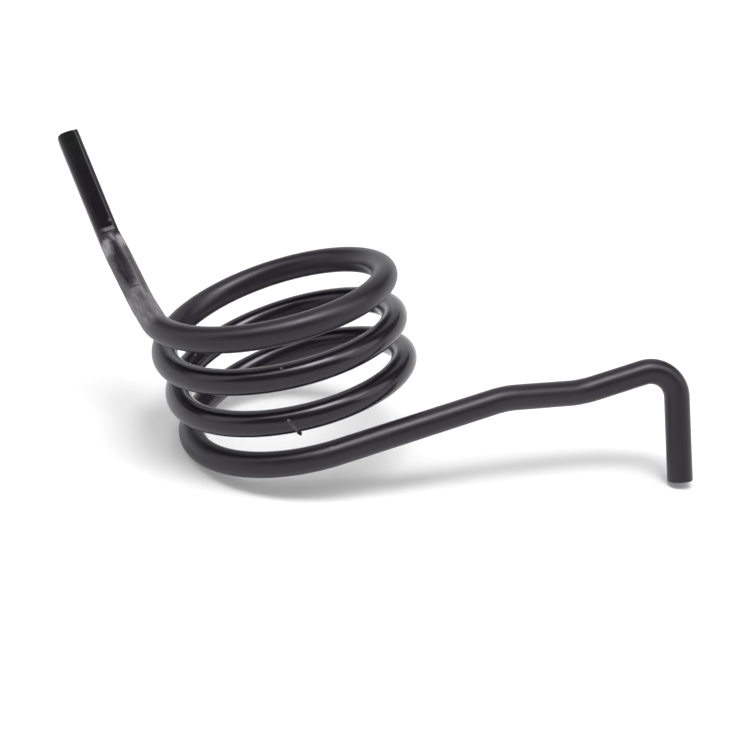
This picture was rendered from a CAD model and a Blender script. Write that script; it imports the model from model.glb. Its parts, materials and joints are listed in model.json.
import json
from math import atan2, cos, pi, radians, sin, tan

import bmesh
import bpy
import numpy as np
from bpy.props import FloatProperty, FloatVectorProperty, IntProperty, PointerProperty
from mathutils import Matrix, Vector
from mathutils.kdtree import KDTree


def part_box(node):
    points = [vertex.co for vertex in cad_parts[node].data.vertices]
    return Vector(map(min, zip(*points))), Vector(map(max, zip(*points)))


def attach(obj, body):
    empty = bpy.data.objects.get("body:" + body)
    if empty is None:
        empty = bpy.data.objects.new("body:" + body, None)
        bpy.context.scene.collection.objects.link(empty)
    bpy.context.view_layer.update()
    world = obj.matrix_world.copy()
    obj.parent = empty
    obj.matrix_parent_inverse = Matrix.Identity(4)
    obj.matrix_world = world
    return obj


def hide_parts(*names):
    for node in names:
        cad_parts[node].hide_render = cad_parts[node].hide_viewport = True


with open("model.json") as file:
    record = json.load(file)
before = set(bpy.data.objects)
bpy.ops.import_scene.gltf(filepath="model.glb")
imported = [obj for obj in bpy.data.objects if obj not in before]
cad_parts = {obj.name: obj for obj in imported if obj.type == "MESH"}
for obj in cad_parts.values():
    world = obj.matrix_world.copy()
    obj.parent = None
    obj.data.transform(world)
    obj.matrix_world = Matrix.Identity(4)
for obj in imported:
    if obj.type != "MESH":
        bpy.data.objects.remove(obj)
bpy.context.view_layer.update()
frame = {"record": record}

bl_info = {
    "name": "Torsion Spring",
    "version": (1, 0, 0),
    "blender": (4, 5, 0),
    "location": "View3D > Sidebar > Torsion Spring",
    "description": "Models a left-hand torsion spring with a hooked leg and a coined leg",
    "category": "Add Mesh",
}

NODE = "torsion_spring"
BODY = "root"
MM = 0.001

END_REACH = 0.55            # of the wire's diameter: an open end's edges lie this near its middle
BEND_STEP = radians(3)      # widest turn from one section of a bend to the next
SLANT_FADE = 0.006          # back from the tip, where its slanted cut has no more effect
CORNER_START = 3.0          # lengths of the step's slope, where the flat starts to deepen
CREASE_WIDTH = 0.0002
CREASE_GAP = 0.0004         # from the step, and from the oval, to the crease below it
CREASE_EDGE = (0.8, 0.95)   # shares of the wire's radius, where a crease starts and is whole
BURR_EDGE = (0.5, 0.9)      # the same for the burr
NIB_STEPS = ((0.35, 1.25), (0.35, 0.55), (0.3, 0.3))   # shares of its length and width
COVE_STEPS = 12

# Soft lamps in a row, brightest overhead, a wide faint one round that, and a weak one behind:
# name, lean from overhead, turn round the vertical, angle it covers, brightness
SOFT_LAMPS = (
    ("lamp_middle", 12.8, -1.3, 23.0, 11.0),
    ("lamp_middle_left", 13.0, -50.0, 18.0, 3.5),
    ("lamp_halo", 11.0, -1.0, 60.0, 0.42),
    ("lamp_left", 22.5, -86.0, 28.0, 3.1),
    ("lamp_right", 29.5, 42.9, 24.0, 3.8),
    ("lamp_far_left", 53.7, -106.0, 40.0, 1.2),
    ("lamp_far_right", 53.7, 59.8, 40.0, 1.7),
    ("lamp_behind", 50.0, 160.0, 56.0, 0.55),
)

# Start and end of each change in the coat, millimetres back from the tip, or for SIDES to the
# side of the front's middle, and for FRONT out from the wire's middle
TIP_COAT_END = (4.0, 11.0)
TOP_TURN_END = (170.0, 225.0)
LAST_TURN_START = (430.0, 485.0)
FLAT_FOOT = (21.6, 22.2)
FLAT_MIDDLE, FLAT_SIDES = 0.2, (0.6, 2.0)
PRESSED_FRONT = (1.3, 1.7)
GRIP_START = (24.0, 25.2)
GRIP_HALFWAY = (35.5, 38.5)
GRIP_END = (52.5, 57.0)
GRIP_MIDDLE, GRIP_SIDES = 0.1, (0.15, 0.9)
GRIP_FRONT = (-1.9, -0.3)
CORNERS = (24.5, 27.4, 0.9)   # bared below the step: start, end and softness
CORNER_SIDES = (0.4, 1.3)
WEDGE_POINT = 26.4            # lower end of the coat left between the corners
WEDGE_EDGE = (-0.2, 0.3)

# Ovals: middle and half length, middle and half width, and their soft edge, its outline being 1
PRESSED_OVAL, PRESSED_OVAL_EDGE = ((31.0, 6.4), (-0.15, 2.3)), (0.4, 1.2)
KEPT_OVAL, KEPT_OVAL_EDGE = ((31.2, 5.6), (-0.35, 1.75)), (0.2, 1.4)

# Bared edges at the step: start, end and softness back, the same to the side, and how bare
STEP_EDGES = (
    ((22.3, 23.0, 0.12), (-0.7, 1.5, 0.25), 0.34),
    ((20.4, 21.0, 0.2), (0.9, 1.5, 0.2), 0.2),
)

# Small chips in the coat: place on the wire and size, millimetres
CHIPS = (
    ((506.9, 2.31, 1.02), 0.45),
    ((221.9, 2.52, -0.05), 0.35),
    ((316.2, 0.53, 2.42), 0.35),
)

# How bare the rubbed places are, from 0 to 1, and shares of that
STREAK_CONTRAST, STREAK_LEVELS = (0.68, 1.22), (0.08, 0.56)
CORNER_LEVEL, CHIP_LEVEL = 0.62, 0.3
MOTTLE_SHARE = 0.9
UPPER_HALF_SHARE = MIDDLE_SHARE = 0.62
KEPT_OVAL_SHARE = 0.72

# How far the edges of the rubbed places wander, and how much they slant
WANDER_ALONG, WANDER_ACROSS = 1.6, 0.7
WANDER_AT_STEP, STEP_SLANT = 4.0, 0.35
WANDER_AT_ROOT, ROOT_SLANT = 7.0, -0.5
WEDGE_SLANT = 0.5

# Scales of patterns along and across the wire, and what each adds to roughness and height
DRAWN_LINES = (0.07, 2.6, 2.6)
GRIP_STREAKS = (0.25, 1.6, 1.6)
CLOUDS_ROUGHNESS, CLOUDS_HEIGHT = 0.12, 0.8
DRAWN_ROUGHNESS, DRAWN_HEIGHT = 0.10, 0.12
BARED_ROUGHNESS, BARED_HEIGHT = 0.22, 0.6
BARED_SPREAD = 3.0            # times its bareness is how far a place is roughened
GRAIN_HEIGHT = 0.07
PRESSED_ROUGHNESS, PRESSED_OVAL_SHARE = -0.17, 0.92
PRESSED_LEAN = -0.32          # the pressed places lean a little down the wire
COAT_SHADES = (0.8, 1.2)
GLOSS_TINT = (0.94, 0.89, 1.0, 1.0)
DRIP_SHADES, DRIP_CLOUDS, DRIP_ROUGHNESS = (0.35, 0.65), (0.3, 0.7), (0.35, 0.6)


# ---- Sizes and colours ----
class WireSizes(bpy.types.PropertyGroup):
    """Round wire, coil and the runs of its two legs."""

    wire_diameter: FloatProperty(
        name="Wire", description="Diameter of the round wire",
        default=0.005, unit="LENGTH")
    coil_mean_diameter: FloatProperty(
        name="Coil", description="Mean diameter of the coil at its start",
        default=0.0442, unit="LENGTH")
    coil_top_mean_diameter: FloatProperty(
        name="Coil top", description="Mean diameter of the coil at its top",
        default=0.0453, unit="LENGTH")
    coil_pitch: FloatProperty(
        name="Pitch", description="Rise of the coil in one turn",
        default=0.00877, unit="LENGTH")
    coil_turns: FloatProperty(
        name="Turns", description="Turns of the coil", default=3.255)
    arm_length: FloatProperty(
        name="Arm", description="Lower leg, from the coil to the jog",
        default=0.0344, unit="LENGTH")
    jog_length: FloatProperty(
        name="Jog", description="Sloping run of the lower leg",
        default=0.0165, unit="LENGTH")
    jog_heading: FloatProperty(
        name="Jog heading", description="Heading of the jog round the coil axis",
        default=radians(1.8), subtype="ANGLE")
    jog_rise: FloatProperty(
        name="Jog rise", description="Rise of the jog along the coil axis",
        default=radians(-17.9), subtype="ANGLE")
    reach_length: FloatProperty(
        name="Reach", description="Lower leg, from the jog to the hook",
        default=0.0197, unit="LENGTH")
    reach_heading: FloatProperty(
        name="Reach heading", description="Heading of the reach round the coil axis",
        default=radians(-8.3), subtype="ANGLE")
    reach_rise: FloatProperty(
        name="Reach rise", description="Rise of the reach along the coil axis",
        default=radians(0.2), subtype="ANGLE")
    hook_length: FloatProperty(
        name="Hook", description="Hooked end of the lower leg",
        default=0.0237, unit="LENGTH")
    hook_heading: FloatProperty(
        name="Hook heading", description="Heading of the hook round the coil axis",
        default=radians(-139.9), subtype="ANGLE")
    hook_rise: FloatProperty(
        name="Hook rise", description="Rise of the hook along the coil axis",
        default=radians(-69.6), subtype="ANGLE")
    jog_bend_radius: FloatProperty(
        name="Jog bend", description="Bend between the arm and the jog",
        default=0.019, unit="LENGTH")
    reach_bend_radius: FloatProperty(
        name="Reach bend", description="Bend between the jog and the reach",
        default=0.0156, unit="LENGTH")
    hook_bend_radius: FloatProperty(
        name="Hook bend", description="Bend between the reach and the hook",
        default=0.0054, unit="LENGTH")
    foot_rounding: FloatProperty(
        name="Foot rounding", description="Rounding of the cut end of the hook",
        default=0.00035, unit="LENGTH")
    root_length: FloatProperty(
        name="Root", description="Straight end of the coil before the upper leg turns up",
        default=0.011, unit="LENGTH")
    stem_length: FloatProperty(
        name="Stem", description="Upper leg, from its root to the tang's bend",
        default=0.016, unit="LENGTH")
    tip_length: FloatProperty(
        name="Tip", description="Straight end of the upper leg, beyond the tang's bend",
        default=0.0224, unit="LENGTH")
    stem_heading: FloatProperty(
        name="Stem heading", description="Heading of the stem round the coil axis",
        default=radians(94.1), subtype="ANGLE")
    stem_rise: FloatProperty(
        name="Stem rise", description="Rise of the stem along the coil axis",
        default=radians(45.6), subtype="ANGLE")
    tang_heading: FloatProperty(
        name="Tang heading", description="Heading of the tang round the coil axis",
        default=radians(90.0), subtype="ANGLE")
    tang_rise: FloatProperty(
        name="Tang rise", description="Rise of the tang along the coil axis",
        default=radians(53.4), subtype="ANGLE")
    root_bend_radius: FloatProperty(
        name="Root bend", description="Bend at the root of the upper leg",
        default=0.007, unit="LENGTH")
    stem_bend_radius: FloatProperty(
        name="Stem bend", description="Bend between the stem and the tang",
        default=0.01, unit="LENGTH")


class TangSizes(bpy.types.PropertyGroup):
    """Coined end of the upper leg."""

    tang_length: FloatProperty(
        name="Tang", description="Coined length, from the foot of the step to the tip",
        default=0.0231, unit="LENGTH")
    tang_width: FloatProperty(
        name="Width", description="Width across the pressed sides",
        default=0.0044, unit="LENGTH")
    tang_thickness: FloatProperty(
        name="Thickness", description="Thickness from the flat to the round back",
        default=0.0046, unit="LENGTH")
    tang_turn: FloatProperty(
        name="Turn", description="Turn of the flat round the wire",
        default=radians(1.0), subtype="ANGLE")
    flat_softness: FloatProperty(
        name="Flat softness", description="Width over which the flat rounds off",
        default=0.00045, unit="LENGTH")
    tip_slant: FloatProperty(
        name="Tip slant", description="Slant of the cut tip, lower at the back",
        default=radians(17.5), subtype="ANGLE")
    tip_rounding: FloatProperty(
        name="Tip rounding", description="Rounding of the cut tip",
        default=0.00012, unit="LENGTH")
    burr_height: FloatProperty(
        name="Burr", description="Height of the burr left at one corner of the cut",
        default=0.0004, unit="LENGTH")
    neck_length: FloatProperty(
        name="Neck", description="Length below the step where the sides run out",
        default=0.0045, unit="LENGTH")
    neck_clearance: FloatProperty(
        name="Neck clearance", description="Clearance of the side dies where they start",
        default=0.0001, unit="LENGTH")
    step_slope_length: FloatProperty(
        name="Step slope", description="Length of the slope of the step",
        default=0.0009, unit="LENGTH")
    corner_depth: FloatProperty(
        name="Corner depth", description="Extra depth where the flat meets the step",
        default=0.00012, unit="LENGTH")
    crease_depth: FloatProperty(
        name="Crease depth", description="Depth of the creases below the step and the oval",
        default=0.00012, unit="LENGTH")
    pad_length: FloatProperty(
        name="Oval", description="Length of the pressed oval on the stem",
        default=0.0103, unit="LENGTH")
    pad_depth: FloatProperty(
        name="Oval depth", description="Depth of the pressed oval",
        default=0.00035, unit="LENGTH")
    pad_gap: FloatProperty(
        name="Oval gap", description="Gap from the step to the oval",
        default=0.0029, unit="LENGTH")
    side_softness: FloatProperty(
        name="Side softness", description="Width over which the pressed sides round off",
        default=0.0002, unit="LENGTH")


class DripSizes(bpy.types.PropertyGroup):
    """Drip of coat that set on one of the middle turns."""

    drip_turn: FloatProperty(
        name="Turn", description="Turns of the coil from its start to the drip", default=1.0403)
    drip_start: FloatProperty(
        name="Start", description="Where the run of the drip starts, above the coil's plane",
        default=radians(24), subtype="ANGLE")
    drip_end: FloatProperty(
        name="End", description="Where the drip hangs, below the coil's plane",
        default=radians(-62), subtype="ANGLE")
    drip_width: FloatProperty(
        name="Width", description="Half the width of the run",
        default=0.00037, unit="LENGTH")
    drip_height: FloatProperty(
        name="Height", description="Half the height of the run",
        default=0.00020, unit="LENGTH")
    nib_length: FloatProperty(
        name="Nib", description="Length of the hanging nib",
        default=0.0008, unit="LENGTH")
    drip_slant: FloatProperty(
        name="Slant", description="Run along the wire for each unit of its fall",
        default=0.42, precision=3)


class MeshDetail(bpy.types.PropertyGroup):
    """Closeness of the sections drawn along the wire."""

    sides: IntProperty(name="Sides", description="Points round the wire", default=96, min=24)
    turn_steps: IntProperty(
        name="Turn steps", description="Sections in one turn of the coil", default=128, min=24)
    lower_spacing: FloatProperty(
        name="Lower leg", description="Distance between sections of the lower leg",
        default=0.0008, unit="LENGTH")
    upper_spacing: FloatProperty(
        name="Upper leg", description="Distance between sections of the upper leg",
        default=0.00016, unit="LENGTH")
    end_margin: FloatProperty(
        name="End margin", description="Last section of a leg, which its end rounding takes up",
        default=0.0005, unit="LENGTH")


class CoatFinish(bpy.types.PropertyGroup):
    """Satin black coat and its worn places."""

    coat: FloatVectorProperty(
        name="Coat", description="Colour of the whole coat", subtype="COLOR",
        default=(0.0098, 0.0082, 0.0120), min=0.0, max=1.0)
    tip_coat: FloatVectorProperty(
        name="Tip", description="Colour of the coat near the tip",
        subtype="COLOR", default=(0.0108, 0.0114, 0.0108), min=0.0, max=1.0)
    bared: FloatVectorProperty(
        name="Bared", description="Colour of the wire where the tools bared it",
        subtype="COLOR", default=(0.36, 0.35, 0.365), min=0.0, max=1.0)
    drip: FloatVectorProperty(
        name="Drip", description="Colour of the coat in the set drip",
        subtype="COLOR", default=(0.080, 0.080, 0.070), min=0.0, max=1.0)
    top_roughness: FloatProperty(
        name="Top turn", description="Roughness of the coat on the top turn and the tang",
        default=0.37, min=0.0, max=1.0, subtype="FACTOR")
    middle_roughness: FloatProperty(
        name="Middle turns", description="Roughness of the coat on the middle turns",
        default=0.20, min=0.0, max=1.0, subtype="FACTOR")
    lower_roughness: FloatProperty(
        name="Lower leg", description="Roughness of the coat on the last turn and the lower leg",
        default=0.37, min=0.0, max=1.0, subtype="FACTOR")


class Studio(bpy.types.PropertyGroup):
    """Floor, light and camera."""

    floor_radius: FloatProperty(
        name="Floor", description="Radius of the floor", default=1.2, unit="LENGTH")
    cove_height: FloatProperty(
        name="Cove", description="Height that the floor's edge curves up to",
        default=0.55, unit="LENGTH")
    floor_tone: FloatProperty(
        name="Floor tone", description="Share of the light that the floor gives back",
        default=0.75, min=0.0, max=1.0, subtype="FACTOR")
    floor_glow: FloatProperty(
        name="Floor glow", description="White that the eye sees on the floor besides the light",
        default=0.17, min=0.0, max=1.0, subtype="FACTOR")
    lamp_strength: FloatProperty(
        name="Lamps", description="Strength of the soft lamps, as a share of their plain level",
        default=1.0, min=0.0, max=2.0, subtype="FACTOR")
    room_strength: FloatProperty(
        name="Room", description="Strength of the light from all round", default=0.10)
    camera_place: FloatVectorProperty(
        name="Camera", description="Place of the camera", subtype="TRANSLATION",
        unit="LENGTH", default=(-0.121545, -0.288159, 0.155957), precision=5)
    camera_turn: FloatVectorProperty(
        name="Camera turn", description="Turn of the camera", subtype="EULER",
        default=(radians(65.43549), radians(-4.45346), radians(-21.05242)))
    camera_lens: FloatProperty(
        name="Lens", description="Focal length of the camera in millimetres", default=81.9669)


# ---- Directions and places along the wire ----
def run_direction(heading, rise):
    """Direction of a straight run: heading turns from +Y towards -X, rise is along the axis."""
    return Vector((-cos(rise) * sin(heading), cos(rise) * cos(heading), sin(rise)))


def coil_place(sizes, turned):
    """Place and direction of the climbing wire, after this much turning from the coil's start."""
    whole = 2 * pi * sizes.coil_turns
    opening = (sizes.coil_top_mean_diameter - sizes.coil_mean_diameter) / 2 / whole
    radius = sizes.coil_mean_diameter / 2 + opening * turned
    outward = Vector((cos(turned), -sin(turned), 0))
    round_it = Vector((-sin(turned), -cos(turned), 0))
    rise = Vector((0, 0, sizes.coil_pitch / (2 * pi)))
    climb = outward * opening + round_it * radius + rise
    return outward * radius + rise * turned, climb.normalized()


def lower_corners(sizes):
    """Corners of the lower leg, from the coil to the foot."""
    start, climb = coil_place(sizes, 0)
    arm_end = start - climb * sizes.arm_length
    jog_end = arm_end + run_direction(sizes.jog_heading, sizes.jog_rise) * sizes.jog_length
    reach_end = jog_end + run_direction(sizes.reach_heading, sizes.reach_rise) * sizes.reach_length
    hook = run_direction(sizes.hook_heading, sizes.hook_rise)
    return [start, arm_end, jog_end, reach_end, reach_end + hook * sizes.hook_length]


def upper_corners(sizes):
    """Corners of the upper leg, from the coil to the tip."""
    top, climb = coil_place(sizes, 2 * pi * sizes.coil_turns)
    root_end = top + climb * sizes.root_length
    stem = run_direction(sizes.stem_heading, sizes.stem_rise)
    tang_way = run_direction(sizes.tang_heading, sizes.tang_rise)
    stem_end = root_end + stem * sizes.stem_length
    setback = sizes.stem_bend_radius * tan(stem.angle(tang_way) / 2)
    return [top, root_end, stem_end, stem_end + tang_way * (setback + sizes.tip_length)]


def wire_frames(centres, facing):
    """Distance back from the tip, way towards it and two ways across, at each centre."""
    gaps = np.linalg.norm(np.diff(centres, axis=0), axis=1)
    distance = np.concatenate(([0.0], np.cumsum(gaps)))
    ahead = -np.gradient(centres, distance, axis=0)
    ahead /= np.linalg.norm(ahead, axis=1)[:, None]
    out = np.empty_like(ahead)
    last = np.array(facing)
    for i, way in enumerate(ahead):
        last = last - way * last.dot(way)
        last /= np.linalg.norm(last)
        out[i] = last
    return distance, ahead, out, np.cross(ahead, out)


# ---- Hand tools ----
def deselect_all():
    bpy.ops.object.select_all(action="DESELECT")


def apply_place(piece):
    """Select one piece alone, and move its place, turn and scale into its mesh."""
    deselect_all()
    piece.select_set(True)
    bpy.context.view_layer.objects.active = piece
    bpy.ops.object.transform_apply(location=True, rotation=True, scale=True)


def select_open_end(piece, place, reach):
    """Select the open ring of edges round a place. Returns how many edges it has."""
    bpy.ops.mesh.select_mode(type="EDGE")
    bpy.ops.mesh.select_all(action="DESELECT")
    mesh = bmesh.from_edit_mesh(piece.data)
    count = 0
    for edge in mesh.edges:
        if edge.is_boundary and all((v.co - place).length < reach for v in edge.verts):
            edge.select_set(True)
            count += 1
    bmesh.update_edit_mesh(piece.data)
    return count


def draw_straight(piece, start, end, spacing, reach):
    """Carry the selected ring straight on, in equal sections. Returns their centres."""
    steps = max(1, round((end - start).length / spacing))
    bpy.ops.mesh.extrude_region_move(TRANSFORM_OT_translate={"value": end - start})
    if steps > 1:
        mesh = bmesh.from_edit_mesh(piece.data)
        lengthwise = [e for e in mesh.edges if e.verts[0].select != e.verts[1].select]
        bpy.ops.mesh.select_all(action="DESELECT")
        for edge in lengthwise:
            edge.select_set(True)
        bmesh.update_edit_mesh(piece.data)
        bpy.ops.mesh.subdivide_edgering(number_cuts=steps - 1, interpolation="LINEAR")
        select_open_end(piece, end, reach)
    return [start.lerp(end, (i + 1) / steps) for i in range(steps)]


def draw_bend(start, ahead, beyond, radius, spacing):
    """Carry the selected ring round a bend, in equal sections. Returns their centres."""
    angle = ahead.angle(beyond)
    axis = ahead.cross(beyond).normalized()
    middle = start + axis.cross(ahead) * radius
    steps = max(2, round(radius * angle / spacing), round(angle / BEND_STEP))
    bpy.ops.mesh.spin(steps=steps, angle=-angle, center=middle, axis=axis)
    turns = [Matrix.Rotation(angle * (i + 1) / steps, 3, axis) for i in range(steps)]
    return [middle + turn @ (start - middle) for turn in turns]


def draw_leg(piece, corners, radii, spacing, end_margin, reach):
    """Carry the selected ring along a leg's straight runs and bends. Returns all their centres."""
    centres = [corners[0]]
    for before, corner, after, radius in zip(corners, corners[1:], corners[2:], radii):
        ahead, beyond = (corner - before).normalized(), (after - corner).normalized()
        bend_start = corner - ahead * radius * tan(ahead.angle(beyond) / 2)
        centres += draw_straight(piece, centres[-1], bend_start, spacing, reach)
        centres += draw_bend(bend_start, ahead, beyond, radius, spacing)
    margin_start = corners[-1] + (centres[-1] - corners[-1]).normalized() * end_margin
    centres += draw_straight(piece, centres[-1], margin_start, spacing, reach)
    centres += draw_straight(piece, margin_start, corners[-1], end_margin, reach)
    return centres


def close_end(rounding):
    """Close the selected ring with a face and round its edge."""
    bpy.ops.mesh.edge_face_add()
    bpy.ops.mesh.bevel(offset=rounding, segments=4, affect="EDGES")


def axes(first, second):
    """Three square axes: the first direction, and the second as far as it is square to it."""
    across = first.cross(second).normalized()
    return Matrix((first, across, first.cross(across))).transposed()


def lay_down(piece, sizes):
    """Turn a piece from the coil's own axis to the way the spring rests."""
    mounts = {m["name"]: Vector(m["axis"]).normalized() for m in frame["record"]["mounts"]}
    hook = run_direction(sizes.hook_heading, sizes.hook_rise)
    modelled = axes(Vector((0, 0, 1)), hook)
    resting = axes(mounts["coil_seat"], mounts["hook_end"])
    piece.matrix_world = (resting @ modelled.transposed()).to_4x4() @ piece.matrix_world
    apply_place(piece)


def rest_shift(piece):
    """How far the laid-down wire still is from its CAD box, by its hook, front and underside."""
    low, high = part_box(NODE)
    ends = [[v.co[i] for v in piece.data.vertices] for i in range(3)]
    return Vector((high.x - max(ends[0]), low.y - min(ends[1]), low.z - min(ends[2])))


def soft_min(value, limit, softness):
    """The smaller of two values, rounded off where they cross."""
    apart = np.clip(0.5 + 0.5 * (value - limit) / softness, 0.0, 1.0)
    return value * (1 - apart) + limit * apart - softness * apart * (1 - apart)


def smooth_step(value, start, end):
    """0 before start, 1 after end, and a smooth ramp between."""
    share = np.clip((value - start) / (end - start), 0.0, 1.0)
    return share * share * (3 - 2 * share)


# ---- Shader tools ----
class Nodes:
    """Adds nodes to one material, with inputs given as values or as other nodes' outputs."""

    def __init__(self, material):
        material.use_nodes = True
        self.tree = material.node_tree
        self.shader = self.tree.nodes["Principled BSDF"]

    def feed(self, socket, value):
        if isinstance(value, bpy.types.NodeSocket):
            self.tree.links.new(value, socket)
        else:
            socket.default_value = value

    def add(self, kind, inputs=(), **settings):
        node = self.tree.nodes.new(kind)
        for name, value in settings.items():
            setattr(node, name, value)
        for socket, value in dict(inputs).items():
            self.feed(node.inputs[socket], value)
        return node

    def maths(self, operation, *values):
        return self.add("ShaderNodeMath", dict(enumerate(values)), operation=operation).outputs[0]

    def product(self, first, *others):
        for other in others:
            first = self.maths("MULTIPLY", first, other)
        return first

    def plus(self, base, value, share):
        """The base, with this share of the value added."""
        return self.maths("MULTIPLY_ADD", value, share, base)

    def apart(self, value, middle):
        """How far the value is from a middle, either way."""
        return self.maths("ABSOLUTE", self.maths("SUBTRACT", value, middle))

    def oval(self, along, across, shape):
        """0 in the middle of an oval, and 1 on its outline."""
        reaches = [self.maths("DIVIDE", self.maths("SUBTRACT", value, middle), half)
                   for value, (middle, half) in zip((along, across), shape)]
        return self.maths("ADD", *[self.product(reach, reach) for reach in reaches])

    def ramp(self, value, start, end, low=0.0, high=1.0):
        """Smooth ramp from low to high while the value goes from start to end."""
        return self.add(
            "ShaderNodeMapRange",
            {"Value": value, "From Min": start, "From Max": end, "To Min": low, "To Max": high},
            interpolation_type="SMOOTHSTEP").outputs["Result"]

    def fall(self, value, start, end):
        """Smooth ramp from 1 down to 0 while the value goes from start to end."""
        return self.ramp(value, start, end, 1.0, 0.0)

    def band(self, value, start, end, soft):
        """1 between start and end, with edges that fall off over twice the soft width."""
        rising = self.ramp(value, start - soft, start + soft)
        return self.product(rising, self.fall(value, end - soft, end + soft))

    def noise(self, vector, scale, detail, roughness):
        return self.add(
            "ShaderNodeTexNoise",
            {"Vector": vector, "Scale": scale, "Detail": detail, "Roughness": roughness},
        ).outputs["Fac"]

    def stretched(self, vector, scale):
        return self.add(
            "ShaderNodeMapping", {"Vector": vector, "Scale": scale}, vector_type="POINT"
        ).outputs["Vector"]

    def blend(self, share, first, second):
        """Colour that goes from the first to the second with the share."""
        return self.add(
            "ShaderNodeMix", {"Factor": share, "A": first, "B": second}, data_type="RGBA"
        ).outputs["Result"]


def satin_black_coat(finish):
    """Satin black coat over drawn wire, glossier on the middle turns and rubbed on the stem."""
    material = bpy.data.materials.new("satin_black_coat")
    nodes = Nodes(material)
    shader = nodes.shader.inputs
    place = nodes.add("ShaderNodeTexCoord").outputs["Object"]
    rod = nodes.add("ShaderNodeAttribute", attribute_name="rod").outputs["Vector"]
    parts = nodes.add("ShaderNodeSeparateXYZ", {"Vector": rod}).outputs
    back, out, side = parts["X"], parts["Y"], parts["Z"]

    clouds = nodes.noise(place, scale=260.0, detail=4.0, roughness=0.6)
    grain = nodes.noise(place, scale=3800.0, detail=2.0, roughness=0.6)
    drawn = nodes.noise(nodes.stretched(rod, DRAWN_LINES), scale=1.0, detail=3.0, roughness=0.65)
    bareness = worn_places(nodes, rod, back, out, side)
    pressed = pressed_places(nodes, back, out, side)

    dark, light = ((*[part * share for part in finish.coat], 1) for share in COAT_SHADES)
    coat = nodes.blend(clouds, dark, light)
    coat = nodes.blend(nodes.fall(back, *TIP_COAT_END), coat, (*finish.tip_coat, 1))
    nodes.feed(shader["Base Color"], nodes.blend(bareness, coat, (*finish.bared, 1)))

    gloss_lost = finish.lower_roughness - finish.middle_roughness
    upper = nodes.ramp(back, *TOP_TURN_END, finish.top_roughness, finish.middle_roughness)
    lower = nodes.ramp(back, *LAST_TURN_START, 0.0, gloss_lost)
    roughness = nodes.maths("ADD", upper, lower)
    for pattern, change in ((clouds, CLOUDS_ROUGHNESS), (drawn, DRAWN_ROUGHNESS)):
        roughness = nodes.plus(roughness, nodes.maths("SUBTRACT", pattern, 0.5), change)
    roughened = nodes.maths("MINIMUM", nodes.product(bareness, BARED_SPREAD), 1.0)
    roughness = nodes.plus(roughness, roughened, BARED_ROUGHNESS)
    roughness = nodes.plus(roughness, pressed, PRESSED_ROUGHNESS)
    nodes.feed(shader["Roughness"], roughness)
    nodes.feed(shader["Specular Tint"], GLOSS_TINT)

    height = nodes.product(drawn, DRAWN_HEIGHT)
    for pattern, rise in ((grain, GRAIN_HEIGHT), (clouds, CLOUDS_HEIGHT), (bareness, BARED_HEIGHT)):
        height = nodes.plus(height, pattern, rise)
    slope = nodes.product(back, PRESSED_LEAN)
    lean = nodes.add("ShaderNodeBump", {"Height": slope, "Strength": pressed, "Distance": MM})
    bump = nodes.add("ShaderNodeBump", {
        "Height": height, "Strength": 0.5, "Distance": 0.00002, "Normal": lean.outputs["Normal"]})
    nodes.feed(shader["Normal"], bump.outputs["Normal"])
    return material


def pressed_places(nodes, back, out, side):
    """How much a place lies on the tang's flat or in the stem's oval, from 0 to 1."""
    across_flat = nodes.fall(nodes.apart(side, FLAT_MIDDLE), *FLAT_SIDES)
    flat = nodes.product(nodes.fall(back, *FLAT_FOOT), across_flat)
    oval = nodes.oval(back, side, PRESSED_OVAL)
    oval = nodes.ramp(oval, *PRESSED_OVAL_EDGE, PRESSED_OVAL_SHARE, 0.0)
    return nodes.product(nodes.maths("MAXIMUM", flat, oval), nodes.ramp(out, *PRESSED_FRONT))


def worn_places(nodes, rod, back, out, side):
    """How bare the coat is, from 0 to 1: on the grip, at the step, and in a few small chips."""
    worn = rubbed_grip(nodes, rod, back, side)
    for along, across, level in STEP_EDGES:
        edge = nodes.product(nodes.band(back, *along), nodes.band(side, *across), level)
        worn = nodes.maths("MAXIMUM", worn, edge)
    worn = nodes.product(worn, nodes.ramp(out, *GRIP_FRONT))
    for spot, size in CHIPS:
        gap = nodes.add("ShaderNodeVectorMath", {0: rod, 1: spot}, operation="DISTANCE")
        chip = nodes.ramp(gap.outputs["Value"], size / 2, size, CHIP_LEVEL, 0.0)
        worn = nodes.maths("MAXIMUM", chip, worn)
    return worn


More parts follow.
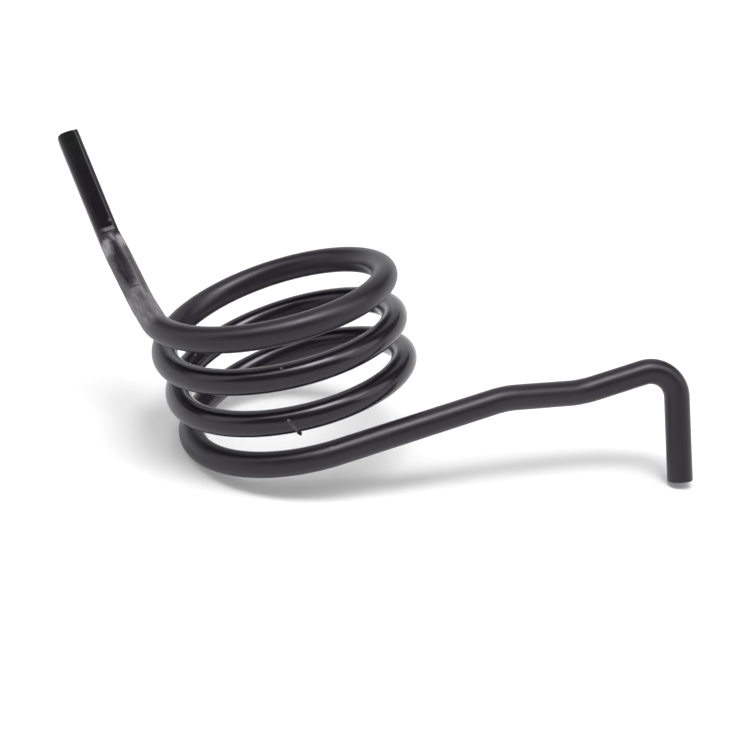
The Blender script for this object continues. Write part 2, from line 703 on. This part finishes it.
def rubbed_grip(nodes, rod, back, side):
    """How bare the grip is, from below the step to the root's bend, with streaks along it."""
    wander = nodes.noise(rod, scale=0.8, detail=4.0, roughness=0.7)
    wander = nodes.maths("SUBTRACT", wander, 0.5)
    mottle = nodes.noise(rod, scale=2.4, detail=6.0, roughness=0.85)
    streaks = nodes.noise(nodes.stretched(rod, GRIP_STREAKS), scale=1.0, detail=4.0, roughness=0.7)
    along = nodes.plus(back, wander, WANDER_ALONG)
    across = nodes.plus(side, wander, WANDER_ACROSS)
    from_middle = nodes.apart(across, GRIP_MIDDLE)
    level = nodes.product(
        nodes.ramp(nodes.plus(streaks, mottle, MOTTLE_SHARE), *STREAK_CONTRAST, *STREAK_LEVELS),
        nodes.ramp(back, *GRIP_HALFWAY, UPPER_HALF_SHARE, 1.0),
        nodes.ramp(from_middle, *GRIP_SIDES, MIDDLE_SHARE, 1.0))

    # Bared corners below the step, and coat left in a wedge between them and in the oval
    slanted = nodes.plus(nodes.plus(back, side, STEP_SLANT), wander, WANDER_AT_STEP)
    corners = nodes.product(nodes.band(slanted, *CORNERS), nodes.ramp(from_middle, *CORNER_SIDES))
    level = nodes.plus(level, corners, CORNER_LEVEL)
    wedge = nodes.product(nodes.maths("SUBTRACT", WEDGE_POINT, back), WEDGE_SLANT)
    wedge = nodes.ramp(nodes.maths("SUBTRACT", wedge, from_middle), *WEDGE_EDGE)
    oval = nodes.oval(along, across, KEPT_OVAL)
    oval = nodes.ramp(oval, *KEPT_OVAL_EDGE, KEPT_OVAL_SHARE, 0.0)
    rubbed_off = nodes.maths("SUBTRACT", 1.0, nodes.maths("MAXIMUM", wedge, oval))

    slanted = nodes.plus(nodes.plus(back, side, ROOT_SLANT), wander, WANDER_AT_ROOT)
    grip = nodes.product(nodes.ramp(along, *GRIP_START), nodes.fall(slanted, *GRIP_END))
    return nodes.product(level, rubbed_off, grip)


def drip_coat(finish):
    """Coat that set thick in the drip, duller and greyer than the rest."""
    material = bpy.data.materials.new("drip_coat")
    nodes = Nodes(material)
    shader = nodes.shader.inputs
    place = nodes.add("ShaderNodeTexCoord").outputs["Object"]
    clouds = nodes.noise(place, scale=1500.0, detail=4.0, roughness=0.7)
    shade = nodes.ramp(clouds, *DRIP_SHADES)
    nodes.feed(shader["Base Color"], nodes.blend(shade, (*finish.coat, 1), (*finish.drip, 1)))
    nodes.feed(shader["Roughness"], nodes.ramp(clouds, *DRIP_CLOUDS, *DRIP_ROUGHNESS))
    bump = nodes.add("ShaderNodeBump", {"Height": clouds, "Strength": 0.6, "Distance": 0.00004})
    nodes.feed(shader["Normal"], bump.outputs["Normal"])
    return material


# ---- Operators ----
class SPRING_OT_wire(bpy.types.Operator):
    """Draw the whole wire of the spring: coil, hooked leg and coined leg"""

    bl_idname = "mesh.torsion_spring_wire"
    bl_label = "Spring wire"
    bl_options = {"REGISTER", "UNDO"}

    def execute(self, context):
        scene = context.scene
        sizes, tang, detail = scene.spring_wire, scene.spring_tang, scene.spring_detail
        piece = self.wind_coil(sizes, detail)
        centres = self.draw_legs(piece, sizes, tang, detail)
        self.press_tang(piece, centres, sizes, tang)
        self.cut_tip(piece, sizes, tang)
        lay_down(piece, sizes)
        piece["laid_at"] = rest_shift(piece)
        piece.location = piece["laid_at"]
        apply_place(piece)
        bpy.ops.object.shade_smooth()
        piece.data.materials.append(satin_black_coat(scene.spring_finish))
        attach(piece, BODY)
        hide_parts(NODE)
        return {"FINISHED"}

    def wind_coil(self, sizes, detail):
        """Screw a circle of the wire's size up the coil's axis, left-hand."""
        height = sizes.coil_pitch * sizes.coil_turns
        slope = atan2(sizes.coil_pitch, pi * sizes.coil_mean_diameter)
        deselect_all()
        bpy.ops.mesh.primitive_circle_add(
            vertices=detail.sides, radius=sizes.wire_diameter / 2,
            location=(sizes.coil_mean_diameter / 2, 0, 0), rotation=(pi / 2 - slope, 0, 0))
        piece = bpy.context.object
        piece.name = "spring_wire"
        apply_place(piece)
        screw = piece.modifiers.new("Coil", "SCREW")
        screw.axis = "Z"
        screw.angle = -2 * pi * sizes.coil_turns
        screw.screw_offset = height
        screw.steps = screw.render_steps = round(detail.turn_steps * sizes.coil_turns)
        screw.use_merge_vertices = False
        bpy.ops.object.modifier_apply(modifier=screw.name)
        opening = (sizes.coil_top_mean_diameter - sizes.coil_mean_diameter) / 2
        for vertex in piece.data.vertices:
            outward = Vector((vertex.co.x, vertex.co.y, 0)).normalized()
            vertex.co += outward * opening * vertex.co.z / height
        return piece

    def draw_legs(self, piece, sizes, tang, detail):
        """Draw both legs out of the coil's open ends. Returns section centres from tip to foot."""
        reach, margin = sizes.wire_diameter * END_REACH, detail.end_margin
        lower, upper = lower_corners(sizes), upper_corners(sizes)
        bpy.ops.object.mode_set(mode="EDIT")
        if select_open_end(piece, lower[0], reach) != detail.sides:
            raise RuntimeError("the coil's lower end isn't where the lower leg starts")
        bends = sizes.jog_bend_radius, sizes.reach_bend_radius, sizes.hook_bend_radius
        lower_centres = draw_leg(piece, lower, bends, detail.lower_spacing, margin, reach)
        close_end(sizes.foot_rounding)
        if select_open_end(piece, upper[0], reach) != detail.sides:
            raise RuntimeError("the coil's upper end isn't where the upper leg starts")
        bends = sizes.root_bend_radius, sizes.stem_bend_radius
        upper_centres = draw_leg(piece, upper, bends, detail.upper_spacing, margin, reach)
        close_end(tang.tip_rounding)
        bpy.ops.mesh.select_all(action="SELECT")
        bpy.ops.mesh.normals_make_consistent(inside=False)
        bpy.ops.object.mode_set(mode="OBJECT")
        steps = round(detail.turn_steps * sizes.coil_turns)
        turned = [2 * pi * sizes.coil_turns * i / steps for i in range(1, steps)]
        coil_centres = [coil_place(sizes, turn)[0] for turn in reversed(turned)]
        return np.array(upper_centres[::-1] + coil_centres + lower_centres)

    def press_tang(self, piece, centres, sizes, tang):
        """Press the flat, the sides, the step and the oval, and store each point's wire place."""
        ahead = Vector(centres[0] - centres[1]).normalized()
        front = Vector((1, 0, 0)) - ahead * ahead.x
        facing = Matrix.Rotation(-tang.tang_turn, 3, ahead) @ front.normalized()
        distance, ways, outs, sides = wire_frames(centres, facing)
        finder = KDTree(len(centres))
        for i, centre in enumerate(centres):
            finder.insert(centre, i)
        finder.balance()
        points = np.array([v.co for v in piece.data.vertices])
        near = np.array([finder.find(point)[1] for point in points])
        offset = points - centres[near]
        along = (offset * ways[near]).sum(axis=1)
        back = distance[near] - along
        out = (offset * outs[near]).sum(axis=1)
        side = (offset * sides[near]).sum(axis=1)
        pressed_out, pressed_side = self.pressed(back, out, side, sizes, tang)
        moves = outs[near] * (pressed_out - out)[:, None]
        moves += sides[near] * (pressed_side - side)[:, None]
        points += moves
        piece.data.vertices.foreach_set("co", points.astype(np.float32).ravel())
        rod = piece.data.attributes.new("rod", "FLOAT_VECTOR", "POINT")
        places = np.stack((back, pressed_out, pressed_side), axis=1) / MM
        rod.data.foreach_set("vector", places.astype(np.float32).ravel())
        piece.data.update()

    def pressed(self, back, out, side, sizes, tang):
        """Places across the wire after pressing, from the distance back and the places before."""
        radius = sizes.wire_diameter / 2
        soft = tang.flat_softness
        below = back - tang.tang_length
        # The flat, deeper at one side of the step, and the step's slope
        slope_foot = -tang.step_slope_length
        slope = 1 - smooth_step(below, slope_foot, 0.0)
        corner = smooth_step(below, slope_foot * CORNER_START, slope_foot) * slope
        corner = corner * smooth_step(side, -radius / 2, radius / 2) * tang.corner_depth
        flat = radius + soft - (radius + soft - (tang.tang_thickness - radius)) * slope - corner
        new_out = np.where(below < soft, soft_min(out, flat, soft), out)
        # The narrow sides, which run out below the step
        run_out = (radius + tang.neck_clearance - tang.tang_width / 2) / tang.neck_length
        limit = tang.tang_width / 2 + run_out * np.maximum(below, 0.0)
        new_side = np.sign(side) * soft_min(np.abs(side), limit, tang.side_softness)
        new_side = np.where(below < tang.neck_length, new_side, side)
        # The oval, and the creases below it and the step
        chord, depth = tang.pad_length / 2, tang.pad_depth
        pad_radius = (chord * chord + depth * depth) / (2 * depth)
        from_middle = below - tang.pad_gap - chord
        inside = np.clip(pad_radius ** 2 - from_middle ** 2, 0.0, None)
        hollow = radius - (np.sqrt(inside) - (pad_radius - depth))
        hollow += soft / 4     # the rounding takes this off where the two cross
        on_pad = np.abs(from_middle) < chord
        new_out = np.where(on_pad, soft_min(new_out, hollow, soft), new_out)
        crease_edge = [radius * share for share in CREASE_EDGE]
        for place in (CREASE_GAP, tang.pad_gap + tang.pad_length + CREASE_GAP):
            groove = np.exp(-((below - place) / CREASE_WIDTH) ** 2)
            groove = groove * smooth_step(out, *crease_edge)
            new_out = new_out - tang.crease_depth * groove
        return new_out, new_side

    def cut_tip(self, piece, sizes, tang):
        """Slant the cut at the tip, and pull up the burr at its corner."""
        along = run_direction(sizes.tang_heading, sizes.tang_rise)
        radius = sizes.wire_diameter / 2
        burr_edge = [radius * share for share in BURR_EDGE]
        for vertex, place in zip(piece.data.vertices, piece.data.attributes["rod"].data):
            back, out, side = place.vector * MM
            if back > SLANT_FADE:
                continue
            drop = (radius - out) * tan(tang.tip_slant) * (1 - back / SLANT_FADE)
            corner = float(smooth_step(side, *burr_edge))
            corner *= 1 - float(smooth_step(back, 0.0, 2 * tang.burr_height))
            vertex.co += along * (tang.burr_height * corner - drop)
        piece.data.update()


class SPRING_OT_drip(bpy.types.Operator):
    """Add the set drip of coat on the front of a middle turn"""

    bl_idname = "mesh.torsion_spring_drip"
    bl_label = "Coating drip"
    bl_options = {"REGISTER", "UNDO"}

    def execute(self, context):
        scene = context.scene
        sizes, drip = scene.spring_wire, scene.spring_drip
        wire = bpy.data.objects.get("spring_wire")
        if wire is None:
            raise RuntimeError("the drip needs the spring's wire under it")
        piece = self.draw_run(drip, sizes.wire_diameter / 2)
        self.hang_nib(piece, drip, sizes.wire_diameter / 2)
        centre, climb = coil_place(sizes, 2 * pi * drip.drip_turn)
        outward = Vector((centre.x, centre.y, 0)).normalized()
        turn = Matrix((outward, -climb, climb.cross(outward))).transposed().to_4x4()
        piece.data.transform(Matrix.Rotation(-drip.drip_start, 4, "Y"))
        nib = min(vertex.co.z for vertex in piece.data.vertices)
        for vertex in piece.data.vertices:
            vertex.co.y -= drip.drip_slant * (vertex.co.z - nib)
        piece.matrix_world = Matrix.Translation(centre) @ turn
        lay_down(piece, sizes)
        piece.location = wire["laid_at"]
        apply_place(piece)
        bpy.ops.object.shade_smooth()
        piece.data.materials.append(drip_coat(scene.spring_finish))
        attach(piece, BODY)
        return {"FINISHED"}

    def draw_run(self, drip, radius):
        """Spin a small oval round the wire's surface, and sink its start into the wire."""
        deselect_all()
        bpy.ops.mesh.primitive_circle_add(vertices=20, radius=1.0)
        piece = bpy.context.object
        piece.name = "coating_drip"
        start = Vector((radius - drip.drip_height / 2, 0, 0))
        bpy.ops.object.mode_set(mode="EDIT")
        bpy.ops.mesh.select_all(action="SELECT")
        bpy.ops.transform.resize(value=(drip.drip_height, drip.drip_width, 1))
        bpy.ops.transform.translate(value=start)
        bpy.ops.mesh.spin(
            steps=20, angle=drip.drip_end - drip.drip_start, center=(0, 0, 0), axis=(0, 1, 0))
        select_open_end(piece, start, drip.drip_width * 2)
        bpy.ops.mesh.extrude_region_move(
            TRANSFORM_OT_translate={"value": (-drip.drip_height, 0, drip.drip_width)})
        bpy.ops.mesh.edge_face_add()
        return piece

    def hang_nib(self, piece, drip, radius):
        """Draw the end of the run out to a blunt point."""
        turn = Matrix.Rotation(drip.drip_start - drip.drip_end, 3, "Y")
        outward = turn @ Vector((1, 0, 0))
        end = outward * (radius - drip.drip_height / 2)
        select_open_end(piece, end, drip.drip_width * 2)
        for share, size in NIB_STEPS:
            move = outward * drip.nib_length * share
            bpy.ops.mesh.extrude_region_move(TRANSFORM_OT_translate={"value": move})
            end += move
            bpy.ops.transform.resize(value=(size, size, size), center_override=end)
        bpy.ops.mesh.edge_face_add()
        bpy.ops.mesh.select_all(action="SELECT")
        bpy.ops.mesh.normals_make_consistent(inside=False)
        bpy.ops.object.mode_set(mode="OBJECT")


class SPRING_OT_studio(bpy.types.Operator):
    """Add the floor, the soft lamps, the room light and the camera"""

    bl_idname = "scene.torsion_spring_studio"
    bl_label = "Studio"
    bl_options = {"REGISTER", "UNDO"}

    def execute(self, context):
        scene, studio = context.scene, context.scene.spring_studio
        self.lay_floor(studio)
        for name, lean, turn, spread, brightness in SOFT_LAMPS:
            bpy.ops.object.light_add(
                type="SUN", location=(0, 0, 1), rotation=(radians(lean), 0, radians(turn)))
            lamp = context.object
            lamp.name = name
            lamp.data.angle = radians(spread)
            disc = pi * sin(radians(spread / 2)) ** 2
            lamp.data.energy = studio.lamp_strength * brightness * disc
        room = bpy.data.worlds.new("room")
        room.use_nodes = True
        scene.world = room
        light = room.node_tree.nodes["Background"].inputs
        light["Color"].default_value = (1, 1, 1, 1)
        light["Strength"].default_value = studio.room_strength
        bpy.ops.object.camera_add(location=studio.camera_place, rotation=studio.camera_turn)
        camera = context.object
        camera.data.lens = studio.camera_lens
        camera.data.sensor_width = 36
        camera.data.clip_start = 0.01
        scene.camera = camera
        scene.view_settings.view_transform = "Standard"
        return {"FINISHED"}

    def lay_floor(self, studio):
        """Round floor whose edge curves up into a low wall all round."""
        deselect_all()
        bpy.ops.mesh.primitive_circle_add(
            vertices=96, radius=studio.floor_radius, fill_type="NGON")
        floor = bpy.context.object
        floor.name = "floor"
        height = studio.cove_height
        bpy.ops.object.mode_set(mode="EDIT")
        bpy.ops.mesh.select_mode(type="EDGE")
        bpy.ops.mesh.select_all(action="SELECT")
        bpy.ops.mesh.region_to_loop()
        before = 0.0
        for step in range(1, COVE_STEPS + 1):
            turned = step / COVE_STEPS * pi / 2
            radius = studio.floor_radius + height * sin(turned)
            grown = radius / (studio.floor_radius + height * sin(before))
            rise = height * (cos(before) - cos(turned))
            bpy.ops.mesh.extrude_region_move(TRANSFORM_OT_translate={"value": (0, 0, rise)})
            bpy.ops.transform.resize(value=(grown, grown, 1), center_override=(0, 0, 0))
            before = turned
        bpy.ops.mesh.select_all(action="SELECT")
        bpy.ops.mesh.normals_make_consistent(inside=True)
        bpy.ops.object.mode_set(mode="OBJECT")
        bpy.ops.object.shade_smooth()
        floor.data.materials.append(self.floor_paint(studio))

    def floor_paint(self, studio):
        """Pale matt floor with a white wall, and a little glow that lightens the shadows."""
        material = bpy.data.materials.new("pale_floor")
        nodes = Nodes(material)
        shader = nodes.shader.inputs
        path = nodes.add("ShaderNodeLightPath").outputs
        seen = nodes.maths("MAXIMUM", path["Is Camera Ray"], path["Is Glossy Ray"])
        seen = nodes.maths("MAXIMUM", seen, path["Is Transmission Ray"])
        place = nodes.add("ShaderNodeTexCoord").outputs["Object"]
        height = nodes.add("ShaderNodeSeparateXYZ", {"Vector": place}).outputs["Z"]
        wall = nodes.ramp(height, 0.0, studio.cove_height / 4)
        white_wall = nodes.product(wall, seen)
        glow = nodes.product(seen, studio.floor_glow)
        glow = nodes.plus(glow, white_wall, 1.0 - studio.floor_glow)
        tone = nodes.product(nodes.maths("SUBTRACT", 1.0, white_wall), studio.floor_tone)
        colour = nodes.add("ShaderNodeCombineColor", {"Red": tone, "Green": tone, "Blue": tone})
        nodes.feed(shader["Base Color"], colour.outputs["Color"])
        nodes.feed(shader["Emission Strength"], glow)
        nodes.feed(shader["Roughness"], 1.0)
        nodes.feed(shader["Specular IOR Level"], 0.0)
        return material


class SPRING_PT_panel(bpy.types.Panel):
    """Lists the steps that build the spring, and its sizes and colours"""

    bl_idname = "SPRING_PT_panel"
    bl_label = "Torsion Spring"
    bl_space_type = "VIEW_3D"
    bl_region_type = "UI"
    bl_category = "Torsion Spring"

    def draw(self, context):
        for step in STEPS:
            self.layout.operator(step.bl_idname)
        for name, kind in GROUPS.items():
            box = self.layout.box()
            box.label(text=kind.__doc__)
            for size in kind.__annotations__:
                box.prop(getattr(context.scene, name), size)


STEPS = (SPRING_OT_wire, SPRING_OT_drip, SPRING_OT_studio)
GROUPS = {
    "spring_wire": WireSizes,
    "spring_tang": TangSizes,
    "spring_drip": DripSizes,
    "spring_detail": MeshDetail,
    "spring_finish": CoatFinish,
    "spring_studio": Studio,
}


def register():
    for kind in (*GROUPS.values(), *STEPS, SPRING_PT_panel):
        bpy.utils.register_class(kind)
    for name, kind in GROUPS.items():
        setattr(bpy.types.Scene, name, PointerProperty(type=kind))


def unregister():
    for name in GROUPS:
        delattr(bpy.types.Scene, name)
    for kind in (SPRING_PT_panel, *STEPS, *GROUPS.values()):
        bpy.utils.unregister_class(kind)


def main():
    register()
    bpy.ops.mesh.torsion_spring_wire()
    bpy.ops.mesh.torsion_spring_drip()
    bpy.ops.scene.torsion_spring_studio()


if __name__ == "__main__":
    main()
